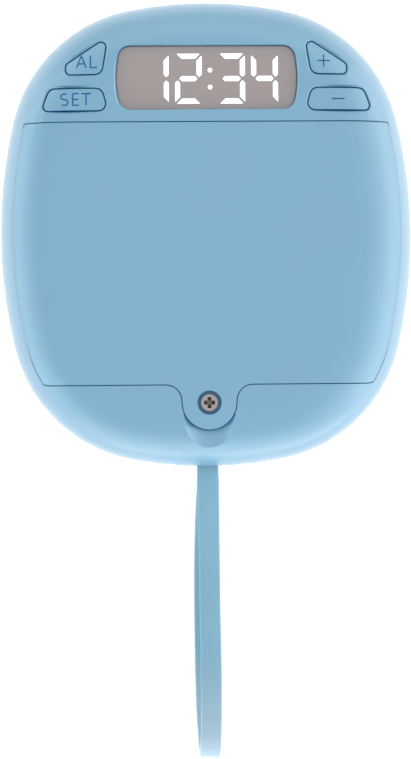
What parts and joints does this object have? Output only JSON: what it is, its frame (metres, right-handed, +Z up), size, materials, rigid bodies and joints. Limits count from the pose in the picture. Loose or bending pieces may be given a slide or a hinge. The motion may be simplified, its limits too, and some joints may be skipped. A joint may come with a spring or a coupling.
{
  "type": "vibrating alarm clock",
  "caption": "Pebble-shaped vibrating alarm clock: LED display window, four corner keys, screwed battery door, eccentric-weight motor and a flat wrist strap.",
  "frame": {"origin": "centre of the flat of the domed front that the case rests on", "axes": "+Z up out of the face with the display and the battery door, +Y towards the display, -Y towards the strap, +X to the right of the digits as they are read"},
  "size_m": [0.0816, 0.152, 0.028],
  "materials": {
    "case_plastic": "satin moulded",
    "key_plastic": "satin moulded",
    "strap_silicone": "satin moulded",
    "window_lens": "smoked diffusing lens",
    "display_frame": "moulded",
    "segment_lit": "lit",
    "segment_unlit": "moulded",
    "board_laminate": "solder mask",
    "chip_epoxy": "moulded epoxy",
    "switch_body": "moulded",
    "switch_plunger": "moulded",
    "motor_steel": "plated",
    "screw_steel": "plated",
    "weight_metal": "sintered",
    "contact_nickel": "nickel plated",
    "crystal_can": "drawn can",
    "nylon_white": "moulded",
    "cell_sleeve": "shrink sleeve over a metal can",
    "ring_rubber": "moulded",
    "wire_red": "extruded insulation",
    "wire_black": "extruded insulation"
  },
  "bodies": {
    "case": {"rear_housing": "case_plastic", "front_housing": "case_plastic", "display_window": "window_lens", "display_module": "display_frame", "lit_segments": "segment_lit", "unlit_segments": "segment_unlit", "main_board": "board_laminate", "controller_chip": "chip_epoxy", "timing_crystal": "crystal_can", "tact_switches": "switch_body", "motor_can": "motor_steel", "motor_end_cap": "nylon_white", "motor_clamp": "motor_steel", "clamp_screws": "screw_steel", "battery_cell_top": "cell_sleeve", "battery_cell_middle": "cell_sleeve", "battery_cell_bottom": "cell_sleeve", "terminal_positive": "contact_nickel", "terminal_negative": "contact_nickel", "contact_link_left": "contact_nickel", "contact_link_right": "contact_nickel", "contact_spring_top": "contact_nickel", "contact_spring_middle": "contact_nickel", "contact_spring_bottom": "contact_nickel", "housing_screws": "screw_steel", "board_screws": "screw_steel", "strap": "strap_silicone", "strap_foot": "strap_silicone", "battery_wire_red": "wire_red", "battery_wire_black": "wire_black", "motor_lead_red": "wire_red", "motor_lead_black": "wire_black"},
    "door": {"battery_door": "case_plastic"},
    "screw": {"door_screw": "screw_steel", "door_screw_ring": "ring_rubber"},
    "alarm_key": {"alarm_button": "key_plastic", "alarm_plunger": "switch_plunger"},
    "set_key": {"set_button": "key_plastic", "set_plunger": "switch_plunger"},
    "plus_key": {"plus_button": "key_plastic", "plus_plunger": "switch_plunger"},
    "minus_key": {"minus_button": "key_plastic", "minus_plunger": "switch_plunger"},
    "rotor": {"motor_shaft": "motor_steel", "eccentric_weight": "weight_metal"}
  },
  "joints": [
    {"name": "door_hinge", "type": "hinge", "parent": "case", "child": "door", "pos_m": [0, 0.0212, 0.028], "axis": [-1, 0, 0], "range_deg": [0, 35]},
    {"name": "screw_turn", "type": "hinge", "parent": "door", "child": "screw", "pos_m": [0, -0.03325, 0.0275], "axis": [0, 0, 1], "continuous": true},
    {"name": "alarm_press", "type": "slide", "parent": "case", "child": "alarm_key", "axis": [0, 0, -1], "range_m": [0, 0.0005], "stiffness_N_per_m": 1500, "springref_m": -0.0002},
    {"name": "set_press", "type": "slide", "parent": "case", "child": "set_key", "axis": [0, 0, -1], "range_m": [0, 0.0005], "stiffness_N_per_m": 1500, "springref_m": -0.0002},
    {"name": "plus_press", "type": "slide", "parent": "case", "child": "plus_key", "axis": [0, 0, -1], "range_m": [0, 0.0005], "stiffness_N_per_m": 1500, "springref_m": -0.0002},
    {"name": "minus_press", "type": "slide", "parent": "case", "child": "minus_key", "axis": [0, 0, -1], "range_m": [0, 0.0005], "stiffness_N_per_m": 1500, "springref_m": -0.0002},
    {"name": "rotor_spin", "type": "hinge", "parent": "case", "child": "rotor", "pos_m": [0, -0.02335, 0.0115], "axis": [1, 0, 0], "continuous": true}
  ]
}
